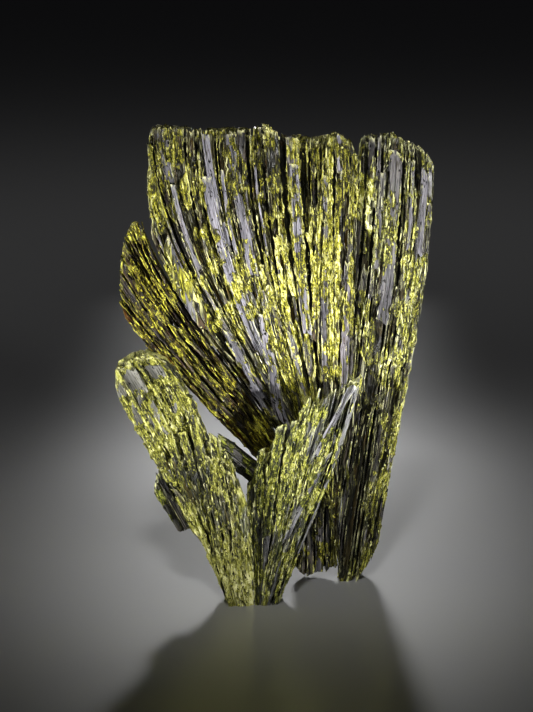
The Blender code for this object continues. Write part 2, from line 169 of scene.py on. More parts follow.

# Blades in set places, as (route, start, end, width in mm, depth share, crust, share of clean face
# with painted sheen, tilt in degrees). A route is a pair of places across the sheaf, at its root and
# at its crest, or a list of (along, across) points.
FAN_BLADES = [
    ((0.365, 0.372), 0.36, 0.885, 2.3, 1.12, 0.16, 1, -3),
    ([(0, 0.34), (0.745, 0.398), (1, 0.375)], 0.7, 0.99, 1.7, 1.04, 0.12, 1, 2),
    ([(0, 0.4), (0.745, 0.48), (1, 0.462)], 0.62, 0.99, 2.2, 1.02, 0.22, 0.9, 4),
    ((0.41, 0.43), 0.66, 0.9, 1, 1.06, 0.2, 0.9, -4),
    ((0.69, 0.69), 0.5, 0.935, 2, 1.12, 0.14, 1, 0),
    ((0.81, 0.815), 0.72, 0.91, 1.2, 1.06, 0.2, 0.9, 3),
    ((0.9, 0.905), 0.91, 1, 2.6, 1.02, 0.15, 0.9, -3),
    ((0.22, 0.225), 0.86, 0.995, 2.6, 1.02, 0.15, 0.8, 5),
    ((0.23, 0.238), 0.62, 0.86, 1.2, 1.08, 0.2, 0.8, -5),
    ([(0.1, 0.19), (0.36, 0.4), (0.53, 0.46), (1, 0.47)], 0.1, 0.52, 1.9, 1.1, 0.22, 0.9, -4),
    ([(0.05, 0.03), (0.28, 0.145), (0.44, 0.208), (1, 0.22)], 0.12, 0.44, 1.7, 1.12, 0.26, 0.8, -4),
    ((0.94, 0.955), 0.36, 0.72, 2, 1.1, 0.25, 0.6, 2),
    ((0.785, 0.785), 0.4, 0.64, 1.5, 1.06, 0.25, 0.7, 3),
    ((0.55, 0.545), 0.68, 0.95, 0.7, 1.12, 0.15, 0.9, 3),
]
# Open cracks between the fan's blades, as (place across, half width)
FAN_CRACKS = [(0.035, 0.014), (0.3, 0.003), (0.41, 0.003), (0.52, 0.004), (0.655, 0.004),
              (0.724, 0.009), (0.79, 0.003), (0.855, 0.004)]
SLAB_BLADES = [
    ((0.8, 0.85), 0.76, 0.96, 1.8, 1.04, 0.1, 1, 22),
    ((0.2, 0.3), 0.7, 0.92, 1.3, 1.12, 0.35, 0.5, -6),
    ((0.5, 0.42), 0.6, 0.97, 3, 1.02, 0.28, 0.5, 4),
    ((0.93, 0.93), 0.2, 0.9, 2, 0.92, 0.4, 0.4, 30),
]
FRONT_BLADES = [
    ([(0.7, 0.6), (0.82, 0.715), (0.97, 0.912)], 0.7, 0.97, 2.1, 1.16, 0.12, 1, 4),
    ([(0.3, 0.42), (0.51, 0.633), (0.71, 0.828)], 0.34, 0.7, 1.6, 1.1, 0.25, 0.8, 6),
    ([(0, 0.1), (1.2, 0.13)], 0.55, 1.07, 1.5, 0.98, 0.75, 0, -8),
    ([(0, 0.17), (1.2, 0.19)], 0.45, 1.1, 1.9, 1.04, 0.7, 0, 5),
    ([(0, 0.25), (1.2, 0.25)], 0.6, 1.04, 1.3, 0.96, 0.5, 0, -4),
    ([(0, 0.32), (1.2, 0.3)], 0.5, 1.09, 1.6, 1.02, 0.6, 0, 8),
    ([(0, 0.41), (1.2, 0.4)], 0.66, 1.05, 1.4, 1, 0.35, 0.4, -6),
]
UPPER_LEFT_BLADES = [
    ((0.15, 0.15), 0.45, 0.985, 2.4, 1.06, 0.55, 1, -7),
    ((0.42, 0.42), 0.35, 0.985, 3.2, 1.1, 0.55, 1, 0),
    ((0.76, 0.76), 0.4, 0.985, 3, 1.07, 0.55, 1, 5),
    ((0.26, 0.28), 0.45, 1, 0.8, 1.22, 1.6, 0, 0),
    ((0.6, 0.59), 0.5, 1, 0.8, 1.22, 1.6, 0, 0),
]
FOOT_BLADES = [
    ([(0, 0.1), (1.3, 0.06)], 0.55, 1.1, 1.8, 0.95, 0.65, 0, -8),
    ([(0, 0.24), (1.3, 0.22)], 0.6, 1.2, 2.1, 1.02, 0.55, 0, 4),
    ([(0, 0.38), (1.3, 0.36)], 0.5, 1.12, 1.7, 0.97, 0.7, 0, -5),
    ([(0, 0.5), (1.3, 0.5)], 0.62, 1.24, 2.2, 1.04, 0.5, 0, 6),
    ([(0, 0.63), (1.3, 0.66)], 0.55, 1.14, 1.7, 0.98, 0.65, 0, -3),
    ([(0, 0.76), (1.3, 0.82)], 0.6, 1.1, 1.6, 1, 0.55, 0, 7),
]
STUB_BLADES = [
    ((0.17, 0.17), 0, 0.96, 1.6, 0.92, 0.25, 0.2, -20),
    ((0.52, 0.5), 0, 0.99, 1.5, 1.05, -0.5, 0.3, 6),
    ((0.86, 0.84), 0, 0.97, 1.2, 0.96, -0.4, 0.1, 16),
]
BRIDGE_BLADES = [
    ((0.16, 0.16), 0, 0.93, 1.7, 0.92, -0.1, 0, -20),
    ((0.5, 0.5), 0, 0.99, 1.6, 1, 0, 0.4, -2),
    ((0.82, 0.78), 0, 0.9, 1.6, 0.97, 0.15, 0.3, 10),
]

# Colours by material. body and coat are the crystal's and the crust's, from hollow to crest,
# with painted shade at the hollow end and painted highlights and glints at the crest end;
# painted_sheen_grey is a painted sheen, a painted reflection of the soft lights on clean faces,
# and tint a stain in clouds; line_share is how dark fine lines are.
COLOURS = {
    "fan_epidote": dict(
        body=[(0.005, 0.005, 0.003), (0.022, 0.02, 0.009), (0.085, 0.081, 0.032), (0.31, 0.3, 0.18)],
        coat=[(0.008, 0.007, 0.001), (0.082, 0.079, 0.003), (0.43, 0.405, 0.028), (0.87, 0.84, 0.38)],
        painted_sheen_grey=(0.235, 0.225, 0.255), tint=(0.075, 0.04, 0.004), tint_share=0.5),
    # The wing's colours are darker: partly its own brown-black, partly painted shade for faces that
    # reflect little light, with a dimmer painted sheen.
    "wing_epidote": dict(
        body=[(0.003, 0.002, 0.001), (0.01, 0.006, 0.002), (0.04, 0.026, 0.007), (0.16, 0.14, 0.08)],
        coat=[(0.006, 0.004, 0.001), (0.06, 0.042, 0.002), (0.3, 0.27, 0.006), (0.7, 0.68, 0.1)],
        painted_sheen_grey=(0.1, 0.09, 0.09), tint=(0.06, 0.022, 0.002), tint_share=0.8),
    "slab_epidote": dict(
        body=[(0.006, 0.006, 0.004), (0.032, 0.03, 0.018), (0.11, 0.108, 0.05), (0.31, 0.31, 0.18)],
        coat=[(0.009, 0.008, 0.002), (0.087, 0.087, 0.006), (0.42, 0.41, 0.05), (0.86, 0.85, 0.46)],
        painted_sheen_grey=(0.225, 0.215, 0.235), tint=(0.06, 0.04, 0.008), tint_share=0.4),
    "front_epidote": dict(
        body=[(0.006, 0.007, 0.004), (0.038, 0.042, 0.018), (0.13, 0.14, 0.053), (0.37, 0.38, 0.2)],
        coat=[(0.009, 0.01, 0.002), (0.088, 0.1, 0.008), (0.41, 0.41, 0.045), (0.84, 0.83, 0.4)],
        painted_sheen_grey=(0.25, 0.245, 0.26), tint=(0.07, 0.09, 0.012), tint_share=0.4),
    "moss_epidote": dict(
        body=[(0.008, 0.009, 0.004), (0.045, 0.048, 0.018), (0.16, 0.165, 0.05), (0.42, 0.42, 0.19)],
        coat=[(0.012, 0.012, 0.003), (0.15, 0.15, 0.013), (0.4, 0.395, 0.07), (0.72, 0.7, 0.34)],
        painted_sheen_grey=(0.19, 0.185, 0.16), tint=(0.1, 0.075, 0.012), tint_share=0.5, line_share=0.3),
    "dark_epidote": dict(
        body=[(0.003, 0.003, 0.002), (0.012, 0.012, 0.006), (0.05, 0.052, 0.026), (0.25, 0.25, 0.18)],
        coat=[(0.008, 0.008, 0.002), (0.07, 0.08, 0.007), (0.3, 0.33, 0.03), (0.68, 0.68, 0.28)],
        painted_sheen_grey=(0.2, 0.19, 0.19), tint=(0.04, 0.028, 0.004), tint_share=0.4),
}

# Soft lights, as (name, place, target and size in m, power in W, spread in degrees). The glows
# and the one behind light the floor, and the others the crystals.
LIGHTS = [
    ("key", (-0.03, -0.5, 0.46), (0, 0, 0.056), (0.1, 0.1), 0.016, 9),
    ("fill", (0.24, -0.6, 0.1), (0, 0, 0.052), (0.1, 0.1), 0.006, 9),
    ("left_side", (-0.57, -0.26, 0.022), (0, 0, 0.05), (0.03, 0.03), 0.044, 9.5),
    ("right_side", (0.57, -0.26, 0.022), (0, 0, 0.05), (0.03, 0.03), 0.041, 9.5),
    ("left_rim", (-0.46, 0.2, 0.07), (0, 0, 0.072), (0.03, 0.05), 0.03, 8),
    ("right_rim", (0.46, 0.2, 0.07), (0, 0, 0.072), (0.03, 0.05), 0.03, 8),
    ("floor_glow", (0, 0.45, 0.45), (0, 0.45, 0), (0.1, 0.1), 0.15, 180),
    ("near_glow", (0, 0.2, 0.5), (0, 0.2, 0), (0.03, 0.24), 0.036, 11),
    ("behind", (0.005, 0.5, 0.28), (0.005, 0.045, 0), (0.09, 0.1), 0.0046, 10),
]
CAMERA_TARGET = (-0.0015133, 0.0016, 0.0448694)    # m
CAMERA_DISTANCE = 0.52                             # m
CAMERA_ELEVATION = math.radians(11)
CAMERA_LENS, CAMERA_SENSOR = 140.14, 36            # mm

# Rays that place crust grains and splinters, as (direction, rays for grains, rays for splinters)
SCATTER = [((0, 1, 0), 9000, 1500), ((0, -1, 0), 4000, 900), ((1, 0, 0), 1500, 300),
           ((-1, 0, 0), 1500, 300), ((0, 0, -1), 1200, 100)]
SCATTER_SPANS = [(-30, 30), (0, 91), (-15, 15)]    # mm to the right, up and back
RAY_START = 100                                    # mm from the middle
HOLD_GAP = 0.25                                    # mm from the surface to a crystal's ends


def line_at(line, across):
    """The values of a sheaf's line at many places across the sheaf."""
    table = np.array(line)
    return np.stack([np.interp(across, table[:, 0], column) for column in table.T[1:]], axis=-1)


def unit(vectors, least=0.0):
    return vectors / (np.linalg.norm(vectors, axis=-1, keepdims=True) + least)


def right_of(vectors):
    """Unit vectors to the right of others, as seen from the front."""
    return unit(np.stack([vectors[..., 2], vectors[..., 2] * 0, -vectors[..., 0]], axis=-1))


def point_in(sheaf, across, along):
    """Points in the middle of the sheaf, in mm, from its root (along 0) to its crest (1)."""
    root = line_at(sheaf["root"], across)
    rise = line_at(sheaf["crest"], across) - root
    bow = line_at(sheaf["bow"], across)[..., 0] * BOW_SCALE * along ** 2 * (1 - along)
    return root + rise * along[..., None] + right_of(rise) * bow[..., None]


def half_thickness(sheaf, across, along):
    """Half of the sheaf's thickness, in mm, which is less at its sides."""
    root, middle, crest = sheaf["thickness"]
    value = root + (crest - root) * along + (middle - (root + crest) / 2) * 4 * along * (1 - along)
    return value * (1 - SIDE_THINNING * np.abs(2 * across - 1) ** 4) / 2


def directions(sheaf, across, along):
    """Unit vectors along the blades and to their right, at many places in the sheaf."""
    step = 0.004
    onward = unit(point_in(sheaf, across, along + step) - point_in(sheaf, across, along - step))
    return onward, right_of(onward)


def spread_at(sheaf, across, along):
    """The sheaf's width, in mm, for each unit of place across it."""
    step = 0.01
    low, high = np.clip(across - step, 0, 1), np.clip(across + step, 0, 1)
    gap = point_in(sheaf, high, along) - point_in(sheaf, low, along)
    right = directions(sheaf, across, along)[1]
    return np.abs((gap * right).sum(axis=-1)) / (high - low)


def lattice(column, row, seed):
    """A repeatable random number from 0 to 1 for each crossing of a square lattice."""
    mixed = (column * 73856093) ^ (row * 19349663) ^ (seed * 83492791)
    mixed = ((mixed ^ (mixed >> 13)) * 1274126177) & 0xFFFFFFFF
    mixed = ((mixed ^ (mixed >> 15)) * 2246822519) & 0xFFFFFFFF
    return (mixed ^ (mixed >> 16)) / 0xFFFFFFFF


def noise(x, y, seed):
    """Smooth noise from 0 to 1 over a plane, with lumps about one unit across."""
    column, row = np.floor(x).astype(np.int64), np.floor(y).astype(np.int64)
    right, up = x - column, y - row
    right = right * right * (3 - 2 * right)
    up = up * up * (3 - 2 * up)
    low = lattice(column, row, seed) * (1 - right) + lattice(column + 1, row, seed) * right
    high = lattice(column, row + 1, seed) * (1 - right) + lattice(column + 1, row + 1, seed) * right
    return low * (1 - up) + high * up


def steps(value, count):
    return np.floor(value * count) / count


def ramp(value, low, high):
    share = np.clip((value - low) / (high - low), 0, 1)
    return share * share * (3 - 2 * share)


def patch_sum(patches, side, x, z):
    """How much soft patches add to or take from places on the front; nothing on the back."""
    bias = np.zeros_like(x)
    for patch_x, patch_z, radius, amount in patches if side < 0 else ():
        apart = ((x - patch_x) ** 2 + (z - patch_z) ** 2) / radius ** 2
        bias += amount * np.exp(-apart)
    return bias


class Shape:
    """The points, faces and surface values of one piece, gathered before its mesh is made."""

    NAMES = ("quads", "tris", "points", "grain", "look", "onward")

    def __init__(self):
        self.parts = {name: [] for name in self.NAMES}
        self.count = 0

    def add(self, quads, tris, *values):
        for name, array in zip(self.NAMES, (quads + self.count, tris + self.count, *values)):
            self.parts[name].append(array)
        self.count += len(values[0])

    def whole(self, name):
        self.parts[name] = [np.concatenate(self.parts[name])]
        return self.parts[name][0]


def blade_section(half, depth, bevels, drops, face_step, side_step):
    """Points round a blade's section, as (across from -1 to 1, depth in mm) and in mm, the
    distance round it to each of them, and how near each is to an edge, from 0 to 1."""
    corners = [(-0.95, depth), (-1.0, drops[0]), (-1 + bevels[0], 0.0),
               (1 - bevels[1], 0.0), (1.0, drops[1]), (0.95, depth)]
    places, arc_at_corners, arc = [], [], 0.0
    for number, (start, end) in enumerate(zip(corners, corners[1:])):
        length = math.hypot((end[0] - start[0]) * half, end[1] - start[1])
        step = side_step if number in (0, 4) else face_step
        count = max(1, round(length / step))
        for share in np.arange(count) / count:
            places.append((start[0] + (end[0] - start[0]) * share,
                           start[1] + (end[1] - start[1]) * share))
        arc += length
        arc_at_corners.append(arc)
    places.append(corners[-1])
    places = np.array(places)
    flat = places * [half, 1.0]
    arcs = np.concatenate([[0], np.cumsum(np.linalg.norm(np.diff(flat, axis=0), axis=1))])
    near = np.abs(arcs[:, None] - np.array(arc_at_corners[:4])[None, :]).min(axis=1)
    return places, flat, arcs, np.exp(-(near / EDGE_WIDTH) ** 2)


def section_normals(flat):
    """Unit vectors that point out of the section at its points."""
    tangent = np.roll(flat, -1, axis=0) - np.roll(flat, 1, axis=0)
    tangent[0], tangent[-1] = flat[1] - flat[0], flat[-1] - flat[-2]
    return unit(np.stack([tangent[:, 1], -tangent[:, 0]], axis=-1), 1e-9)


def half_share(sheaf, blade, centre, along):
    """Half of the width of a blade, as a share of the sheaf's width at the same height."""
    if blade["width"] is None:
        return np.full_like(along, blade["share"] / 2 * blade["cover"])
    return np.minimum(blade["width"] / 2 / spread_at(sheaf, centre, along), blade["most"])


def add_ends(quads, values, rings, widest, seed, floor_end, arc):
    """Closes a blade's rough ends: two rings that shrink from each rim to a point in its middle.

    values are the points, grain, look and direction of the blade's own surface.
    """
    body, _, look, direction = values
    rows, quads, tris = [values], [quads], []
    count, around = len(body), len(arc)
    for ring, is_foot in zip(rings, (True, False)):
        rim, own, forward = body[ring], look[ring], direction[ring].mean(axis=0)
        hub = rim.mean(axis=0)
        level = (rim - hub) @ forward
        for inset in (0.4, 0.75):
            rough = noise(np.arange(around) * 1.7, np.full(around, inset * 9), seed + 11) - 0.5
            inner = rim + (hub - rim) * inset
            inner += forward * (rough * 0.35 * min(1.0, widest) - level * inset * 0.2)[:, None]
            if floor_end and is_foot:
                inner[:, 2] = np.maximum(inner[:, 2], 0.0)
            # The ends' rough faces get less painted sheen, more crust and a painted highlight.
            rows.append((inner, np.stack([arc, arc * 0, arc * 0 + inset * 2 + seed % 89], axis=-1),
                         own * [0.3, 0.8, 0.3, 1.0] + [0.0, 0.35, 0.3, 0.0],
                         np.repeat(forward[None, :], around, axis=0)))
            fresh = np.arange(around) + count
            count += around
            band = np.stack([ring, np.roll(ring, -1), np.roll(fresh, -1), fresh], axis=-1)
            quads.append(band[:, ::-1] if is_foot else band)
            ring = fresh
        rows.append((hub[None, :], np.array([[0.0, 0.0, seed % 89]]), own.mean(axis=0)[None, :],
                     forward[None, :]))
        fan = np.stack([ring, np.roll(ring, -1), np.full(around, count)], axis=-1)
        tris.append(fan[:, ::-1] if is_foot else fan)
        count += 1
    values = [np.concatenate(column) for column in zip(*rows)]
    return np.concatenate(quads), np.concatenate(tris), values


def sunk_by(blade, arcs, run, edge, seed):
    """How deep striae, terraces and chips lie in the blade's outline, in mm.

    Places in mm are divided by the size of the noise's lumps across the blade and along it.
    """
    lands = (1 - steps(noise(arcs / 0.55, run / 18, seed), 5)) * blade["lands"]
    fine = noise(arcs / 0.19, run / 5, seed + 1) * blade["fine"]
    terrace = (1 - steps(noise(arcs / 1.3, run / 5.5, seed + 2), 3)) * blade["terrace"]
    chip = noise(arcs / 0.4, run / 0.8, seed + 3) ** 2 * edge * blade["chip"]
    return lands + fine + terrace + chip


def crust_tone_and_light(blade, x, z, arcs, run, sunk, edge, seed):
    """How much of the surface crust covers, from 0 to 1, and how bright it is there, with painted light
    from some patches.
    """
    deep = np.clip(sunk / (blade["lands"] + blade["terrace"] + 0.05), 0, 1)
    patches = (noise(x / 1.3, z / 3, 31) + 0.8 * noise(x / 0.6, z / 1.1, 33)
               + 0.6 * noise(arcs / 0.7, run / 2.5, seed + 8) - 1.2)
    crust = (blade["crust"] + patches + 0.9 * (noise(x / 3.5, z / 6, 77) - 0.5)
             + 0.15 * (deep - 0.5) + 0.1 * edge)
    crust = np.clip(crust + patch_sum(CRUST_PATCHES, blade["side"], x, z), 0, 1)
    return crust, blade["tone"] + patch_sum(TONE_AND_LIGHT_PATCHES, blade["side"], x, z)


def add_blade(shape, sheaf, blade, rng):
    """One closed striated blade with rough ends.

    side is -1 on the front and 1 on the back. outer and inner are its depths as shares of the
    sheaf's half thickness. share is its place in the row, and cover how much of that it fills.
    route gives the places across the sheaf that it passes, and along where it starts and ends.
    most is half of the widest share of the sheaf that a blade of a set width covers.
    """
    seed = int(rng.integers(1, 1 << 30))
    side, (start, end) = blade["side"], blade["along"]
    route = np.array(blade["route"]).T
    probe = np.linspace(start, end, 9)
    centre = np.interp(probe, *route)
    room = spread_at(sheaf, centre, probe) * half_share(sheaf, blade, centre, probe)
    widest = max(0.2, float(room.max()))
    half_middle = float(half_thickness(sheaf, centre, probe)[4])
    depth = (blade["outer"] - blade["inner"]) * half_middle
    bevels = rng.uniform(*blade["bevel"], 2)
    drops = np.minimum(rng.uniform(*blade["drop"], 2), depth * 0.8)
    places, flat, arc, edge = blade_section(widest, depth, bevels, drops,
                                            blade["face_step"], blade["side_step"])
    normal = section_normals(flat)
    across_share, depth_mm = places[:, 0], places[:, 1]

    ends = point_in(sheaf, np.interp([start, end], *route), np.array([start, end]))
    length = float(np.linalg.norm(ends[1] - ends[0]))
    stations = max(4, round(length / blade["along_step"]) + 1)
    share = np.linspace(0, 1, stations)[:, None] * np.ones(len(places))
    fibres = steps(noise(arc / 0.38, arc * 0 + 3.5, seed + 5), 5)
    foot_fibres = steps(noise(arc / 0.38, arc * 0 + 9.5, seed + 6), 5)
    top_drop = fibres * blade["jag"] + blade["fall"] * depth_mm / max(depth, 0.1)
    bottom = foot_fibres * blade["foot_jag"]
    from_start = share * (length - top_drop - bottom) + bottom
    along = start + (end - start) * from_start / length

    def placed(along):
        """Place across the sheaf, half width in mm, direction, rightward vector and point."""
        centre = np.interp(along, *route)
        half = half_share(sheaf, blade, centre, along)
        half = half * (1 - blade["taper"] * ramp(share, 0.55, 1.0))
        low, high = np.maximum(centre - half, 0.0), np.minimum(centre + half, 1.0)
        across = low + (high - low) * (across_share + 1) / 2
        wide = spread_at(sheaf, centre, along) * (high - low) / 2
        onward, right = directions(sheaf, across, along)
        return across, wide, onward, right, point_in(sheaf, across, along)

    across, wide, onward, right, middle = placed(along)
    if blade["to_floor"]:
        low = FLOOR_CLEARANCE - middle[..., 2]
        lift = np.maximum(0.0, low) / np.maximum(onward[..., 2], 0.3)
        along = along + lift * (end - start) / length * (1 - share) ** 6
        across, wide, onward, right, middle = placed(along)
    run = along * length / (end - start)
    lane = np.zeros_like(run)
    inside = 4 * across * (1 - across)
    shift = (noise(run / 7, lane, seed + 14) - 0.5) * blade["wander"] * np.minimum(1.0, inside * 3)
    middle = middle + right * shift[..., None]
    thick = half_thickness(sheaf, across, along)

    arcs = arc[None, :] + lane
    sunk = sunk_by(blade, arcs, run, edge, seed)
    place_x, place_z = middle[..., 0], middle[..., 2]
    crust, tone = crust_tone_and_light(blade, place_x, place_z, arcs, run, sunk, edge, seed)
    thick_crust = ramp(crust, 0.28, 0.62)
    sunk = sunk * (1 - 0.4 * crust)

    edge_side = np.sign(across_share)
    burr = noise(run / 1.1, edge_side + lane, seed + 16) + 0.6 * noise(run / 0.45, lane, seed + 17)
    burr = (burr - 0.7) * thick_crust * blade["relief"] * edge_side
    burr *= ramp(np.abs(across_share), 0.80, 0.97)
    sideways = burr - normal[:, 0] * sunk * wide / widest
    inward = depth_mm * thick / half_middle - normal[:, 1] * sunk
    slant = math.tan(math.radians(blade["tilt"]))
    outward = blade["outer"] * thick - inward + slant * across_share * wide
    covered = thick_crust * (1 - ramp(depth_mm, 0.3, 0.9))
    lumps = noise(place_x / 0.8, place_z / 1.1, 41) + 0.6 * noise(place_x / 0.4, place_z / 0.6, 43) - 0.8
    outward += covered * (np.clip(thick * CRUST_LEVEL - outward, -0.15, 0.45) + lumps * blade["relief"])
    points = middle + right * sideways[..., None]
    points[..., 1] += side * outward
    if blade["to_floor"]:
        points[..., 2] = np.maximum(points[..., 2], 0.0)

    index = np.arange(stations * len(places)).reshape(stations, -1)
    after = np.roll(index, -1, axis=1)
    quads = np.stack([index[:-1], after[:-1], after[1:], index[1:]], axis=-1).reshape(-1, 4)
    from_end = np.minimum(share, 1 - share) * length
    # The grain's second value is how deep a place lies, for painted shade in cracks and on side walls,
    # less near the ends.
    shade_depth = (depth_mm + blade["painted_shade_sink"]) * ramp(from_end, 0.3, 1.5)
    grain = np.stack([arcs + seed % 97, shade_depth, run + seed % 89], axis=-1).reshape(-1, 3)
    # Painted highlights along the blade's edges and near the ends of the front tips; the look keeps the
    # larger.
    broken_tip_light = ramp((1 - share) * length, 0.8, 0.1) * (side < 0)
    broken_tip_light = broken_tip_light * ramp(noise(arcs / 0.9, run / 2, seed + 18), 0.10, 0.40)
    edge_light = edge * ramp(noise(run / 2.5, lane + 0.5, seed + 15), 0.40, 0.70)
    look = np.stack([blade["clean"] * (1 - ramp(crust, 0.5, 0.8)), crust, np.maximum(edge_light, broken_tip_light),
                     tone], axis=-1).reshape(-1, 4)
    quads, tris, values = add_ends(quads, (points.reshape(-1, 3), grain, look, onward.reshape(-1, 3)),
                                   (index[0], index[-1]), widest, seed, blade["to_floor"], arc)
    if side < 0:
        quads, tris = quads[:, ::-1], tris[:, ::-1]
    shape.add(quads, tris, *values)


def row_of_blades(shape, sheaf, count, rng, uneven, base, vary, cracks=()):
    """Blades side by side across the sheaf; vary changes each blade's own values.

    A blade that vary makes short has a deeper one above it. cracks are places across the sheaf,
    with their half widths, that the row leaves open.
    """
    sizes = np.exp(rng.normal(0, uneven, count))
    marks = np.concatenate([[0], np.cumsum(sizes) / sizes.sum()])
    for place, half in cracks:
        marks = np.concatenate([marks[np.abs(marks - place) > half * 2], [place - half, place + half]])
    marks = np.sort(marks)
    for left, right in zip(marks, marks[1:]):
        middle = (left + right) / 2
        if any(abs(middle - place) < half for place, half in cracks):
            continue
        drift = rng.normal(0, 0.08) * (right - left)
        blade = dict(base, route=[(0, middle - drift), (1, middle + drift)], share=right - left)
        vary(blade)
        add_blade(shape, sheaf, blade, rng)
        top, full = blade["along"][1], base["along"][1]
        if full - top > 0.03:
            add_blade(shape, sheaf, dict(blade, along=(top - 0.03, full),
                                         outer=blade["outer"] * rng.uniform(0.84, 0.94),
                                         crust=blade["crust"] + rng.normal(0, 0.2),
                                         clean=rng.uniform(0, 0.6)), rng)


def lively(rng, crust, clean, short, tilt, depths=(0.80, 1.02), gaps=0.16):
    """What gives each blade of a row its own depth, tilt, tip, crust and share of painted sheen.

    gaps is the share of the blades that leave an open crack beside them.
    """
    def vary(blade):
        blade["outer"] *= rng.uniform(*depths)
        blade["tilt"] = rng.normal(0, tilt)
        blade["crust"] = crust + rng.choice([-0.16, 0.16]) + rng.normal(0, 0.06)
        blade["clean"] = float(np.clip(rng.normal(clean, 0.35), 0, 1))
        blade["tone"] = rng.uniform(0, 1)
        blade["cover"] *= rng.uniform(0.82, 0.92) if rng.uniform() < gaps else rng.uniform(1.02, 1.18)
        blade["jag"] *= rng.uniform(0.4, 1.5)
        low, high = blade["along"]
        if rng.uniform() < short:
            high -= rng.uniform(0.06, 0.4)
        blade["along"] = (low, high)
    return vary


# A blade's values. Lengths are in mm and tilt in degrees; outer, inner, along, cover, most, bevel
# and taper are shares, as are crust, clean, how much of a clean face gets painted sheen, and
# tone, its random tone, to which patches add painted light. The steps are those of its
# mesh, drop is how far its edges fall, jag and foot_jag how ragged its ends are, fall how far its
# tip slopes, and wander how far it bends; painted_shade_sink is how many mm deeper it lies for the
# painted shade.
FACE = dict(side=-1, outer=1.0, inner=0.1, along=(0.0, 1.0), width=None, cover=1.0, most=0.09,
            face_step=0.20, along_step=0.58, side_step=0.90, bevel=(0.02, 0.14), drop=(0.05, 0.40),
            jag=0.9, foot_jag=0.9, fall=0.6, taper=0.0, wander=0.3, lands=0.16,
            fine=0.06, terrace=0.25, chip=0.4, tilt=0.0, crust=0.42, clean=0.3, tone=0.5,
            to_floor=False, painted_shade_sink=0.0, relief=0.45)
BACK_STEPS = dict(side=1, face_step=0.34, along_step=1.0, side_step=1.2)
BACK = dict(FACE, **BACK_STEPS)
# The middle blades lie painted_shade_sink mm deeper, so they get painted shade where cracks show them.
MIDDLE = dict(FACE, outer=0.55, inner=-0.55, face_step=0.5, side_step=1.2, along_step=1.4,
              along=(0.0, 0.985), terrace=0.1, clean=0.0, painted_shade_sink=1.4)


def middle_row(shape, sheaf, count, rng, crust=0.25, **changes):
    """The closed middle of a sheaf."""
    row_of_blades(shape, sheaf, count, rng, 0.2, dict(MIDDLE, **changes),
                  lively(rng, crust, 0.0, 0.0, 4.0, (0.9, 1.1), 0.0))


def sheaf_blades(shape, sheaf, rng, front, back, middle, crust, clean, short, tilt=9.0,
                 depths=(0.80, 1.02), gaps=0.16, **changes):
    """The three layers of a sheaf: a row of blades on each face and a closed middle."""
    face = dict(FACE, **changes)
    vary = lively(rng, crust, clean, short, tilt, depths, gaps)
    middle_row(shape, sheaf, middle, rng, to_floor=face["to_floor"])
    row_of_blades(shape, sheaf, front, rng, 0.6, face, vary)
    row_of_blades(shape, sheaf, back, rng, 0.5, dict(face, **BACK_STEPS), vary)


def ledges(shape, sheaf, count, rng, side, crust, clean, width=(0.5, 1.6), span=(0.1, 0.5),
           reach=(0.98, 1.14), top=0.98):
    """Single blades that lie on a face of the sheaf and end broken."""
    for _ in range(count):
        place, size = rng.uniform(0.04, 0.96), rng.uniform(*span)
        start = rng.uniform(0.12, max(0.13, top - size))
        slant = rng.normal(0, 0.02)
        blade = dict(BACK if side > 0 else FACE, inner=0.5, terrace=0.12,
                     route=[(start, place - slant), (start + size, place + slant)],
                     along=(start, start + size), outer=rng.uniform(*reach),
                     width=rng.uniform(*width), tilt=rng.normal(0, 9),
                     crust=crust + rng.normal(0, 0.12),
                     clean=float(np.clip(rng.normal(clean, 0.4), 0, 1)), tone=rng.uniform(0, 1),
                     jag=rng.uniform(0.5, 2.0), taper=rng.uniform(0, 0.5))
        add_blade(shape, sheaf, blade, rng)


def chosen_blades(shape, sheaf, rows, rng, most=0.09):
    """Blades whose place the photograph shows."""
    for route, start, end, width, outer, crust, clean, tilt in rows:
        route = route if isinstance(route, list) else list(enumerate(route))
        blade = dict(FACE, route=route, along=(start, end), width=width, most=most,
                     outer=outer, inner=0.4, crust=crust, clean=clean, tilt=tilt, jag=0.4,
                     terrace=0.10, lands=0.07, fine=0.04, bevel=(0.05, 0.16), drop=(0.2, 0.5),
                     tone=0.2, face_step=0.16)
        add_blade(shape, sheaf, blade, rng)


def cast(tree, rng, count, direction):
    """The places, normals and face numbers where rays from one side meet the crystals."""
    across, up, deep = [rng.uniform(*span, count) for span in SCATTER_SPANS]
    direction = np.array(direction)
    starts = np.where(direction != 0, -RAY_START * direction, np.stack([across, deep, up], axis=-1))
    hits = [tree.ray_cast(Vector(start), Vector(direction)) for start in starts]
    return [np.array(column) for column in zip(*(hit[:3] for hit in hits if hit[0] is not None))]


def vary_grains(rng, look, total):
    """Changes the look of crust grains; returns their widths and heights in mm."""
    look[:, 0], look[:, 1], look[:, 2] = 0.0, rng.uniform(0.6, 1.0, total), 0.0
    look[:, 3] = rng.uniform(-0.2, 1.0, total)
    return 0.09 + 0.26 * rng.uniform(0, 1, total) ** 2, rng.uniform(0.10, 0.26, total)


def vary_splinters(rng, look, total):
    """Changes the look of splinters; returns their widths and heights in mm."""
    look[:, 1] = np.clip(look[:, 1] + rng.normal(0.0, 0.25, total), 0, 1)
    # A painted highlight along some splinters' edges.
    look[:, 2] = rng.uniform(0, 0.6, total)
    look[:, 3] = rng.uniform(0, 1, total)
    return rng.uniform(0.07, 0.22, total), rng.uniform(0.08, 0.22, total)


# Lengths in mm, rings as (share of the length, width), and how far they turn from the blades
GRAIN = {"vary": vary_grains, "length": (0.22, 0.75), "turn": 0.45,
         "rings": [(0.05, 0.55), (0.35, 1.0), (0.95, 0.5)]}
SPLINTER = {"vary": vary_splinters, "length": (1.0, 5.0), "turn": 0.05,
            "rings": [(0.0, 0.5), (0.3, 0.9), (0.7, 1.0), (1.0, 0.4)]}


